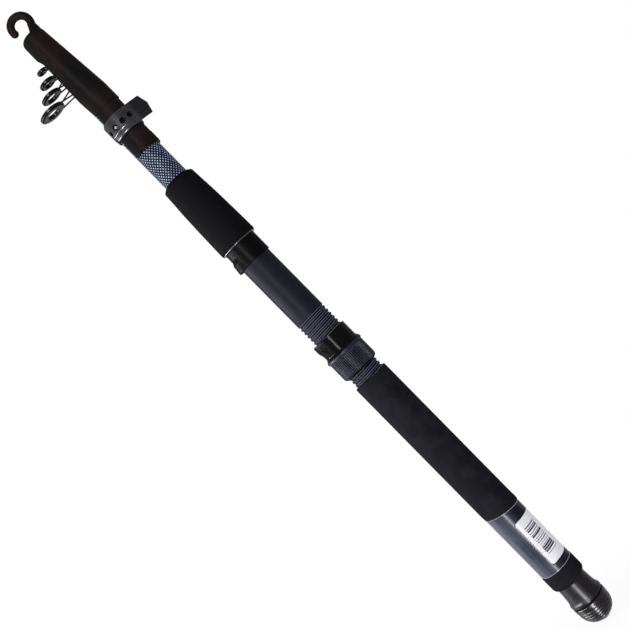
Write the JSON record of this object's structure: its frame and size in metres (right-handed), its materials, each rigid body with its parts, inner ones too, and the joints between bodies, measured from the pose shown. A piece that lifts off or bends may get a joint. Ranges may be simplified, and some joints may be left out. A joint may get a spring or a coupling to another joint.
{
  "type": "telescopic fishing rod",
  "caption": "Telescopic spinning rod, closed, with nested tubular sections, wire line guides, foam grips, screw reel seat, strapped tip cover with hang hook and screw-off butt cap.",
  "frame": {"origin": "centre of the flat end face of the butt cap, on the rod's axis", "axes": "+Z along the rod from butt to tip, -X towards the line guides and the reel, +X towards the strap's tail"},
  "size_m": [0.0628, 0.0308, 0.5904],
  "materials": {
    "carbon": "clear-coated woven carbon look",
    "tip_glass": "clear-coated solid tip",
    "foam": "fine closed-cell foam, matt",
    "film": "clear shrink film, glossy",
    "paper": "satin label",
    "gloss_black": "moulded, glossy",
    "seat": "moulded, satin",
    "nut": "moulded, satin",
    "trim": "moulded, glossy",
    "wire": "black finish",
    "hard_ring": "polished",
    "cover": "soft moulded, satin",
    "strap": "soft moulded, satin",
    "stud": "moulded",
    "bush": "turned",
    "seal": "matt"
  },
  "bodies": {
    "handle": {"butt_blank": "carbon", "fore_grip": "foam", "fore_trim_ring": "trim", "front_hood": "gloss_black", "reel_seat": "seat", "rear_grip": "foam", "label_film": "film", "label": "paper", "butt_collar": "gloss_black", "threaded_bush": "bush", "strap_band": "strap", "strap_stud": "stud"},
    "section_2": {"blank_2": "carbon", "guide_frame_2": "wire", "guide_ring_2": "hard_ring"},
    "section_3": {"blank_3": "carbon", "guide_frame_3": "wire", "guide_ring_3": "hard_ring"},
    "section_4": {"blank_4": "carbon", "guide_frame_4": "wire", "guide_ring_4": "hard_ring"},
    "section_5": {"blank_5": "carbon", "guide_frame_5": "wire", "guide_ring_5": "hard_ring"},
    "tip_section": {"tip_rod": "tip_glass", "tip_top_frame": "wire", "tip_top_ring": "hard_ring"},
    "tip_cover": {"tip_cover": "cover"},
    "strap_tail": {"strap_tail": "strap"},
    "sliding_hood": {"sliding_hood": "gloss_black"},
    "lock_nut": {"lock_nut": "nut"},
    "butt_washer": {"butt_washer": "seal"},
    "butt_cap": {"butt_cap": "gloss_black", "shock_pad": "seal"}
  },
  "joints": [
    {"name": "section_2_slide", "type": "slide", "parent": "handle", "child": "section_2", "axis": [0, 0, 1], "range_m": [0, 0.4138]},
    {"name": "section_3_slide", "type": "slide", "parent": "section_2", "child": "section_3", "axis": [0, 0, 1], "range_m": [0, 0.4223]},
    {"name": "section_4_slide", "type": "slide", "parent": "section_3", "child": "section_4", "axis": [0, 0, 1], "range_m": [0, 0.4308]},
    {"name": "section_5_slide", "type": "slide", "parent": "section_4", "child": "section_5", "axis": [0, 0, 1], "range_m": [0, 0.4393]},
    {"name": "tip_slide", "type": "slide", "parent": "section_5", "child": "tip_section", "axis": [0, 0, 1], "range_m": [0, 0.4478]},
    {"name": "cover_pull", "type": "slide", "parent": "tip_section", "child": "tip_cover", "axis": [0, 0, 1], "range_m": [0, 0.13]},
    {"name": "strap_peel", "type": "hinge", "parent": "handle", "child": "strap_tail", "pos_m": [-0.01104, -0.00163, 0.48], "axis": [0, 0, -1], "range_deg": [0, 100]},
    {"name": "hood_slide", "type": "slide", "parent": "handle", "child": "sliding_hood", "axis": [0, 0, 1], "range_m": [-0.005, 0.03]},
    {"name": "nut_turn", "type": "hinge", "parent": "sliding_hood", "child": "lock_nut", "pos_m": [0, 0, 0.2519], "axis": [0, 0, 1], "range_deg": [-562, 3374]},
    {"name": "washer_draw", "type": "slide", "parent": "handle", "child": "butt_washer", "axis": [0, 0, -1], "range_m": [0, 0.026]},
    {"name": "cap_turn", "type": "hinge", "parent": "butt_washer", "child": "butt_cap", "pos_m": [0, 0, 0.0089], "axis": [0, 0, -1], "range_deg": [0, 4679]}
  ],
  "couplings": [
    {"joint": "hood_slide", "follows": "nut_turn", "m_per_rad": 0.0005093},
    {"joint": "washer_draw", "follows": "cap_turn", "m_per_rad": 0.00031831}
  ]
}
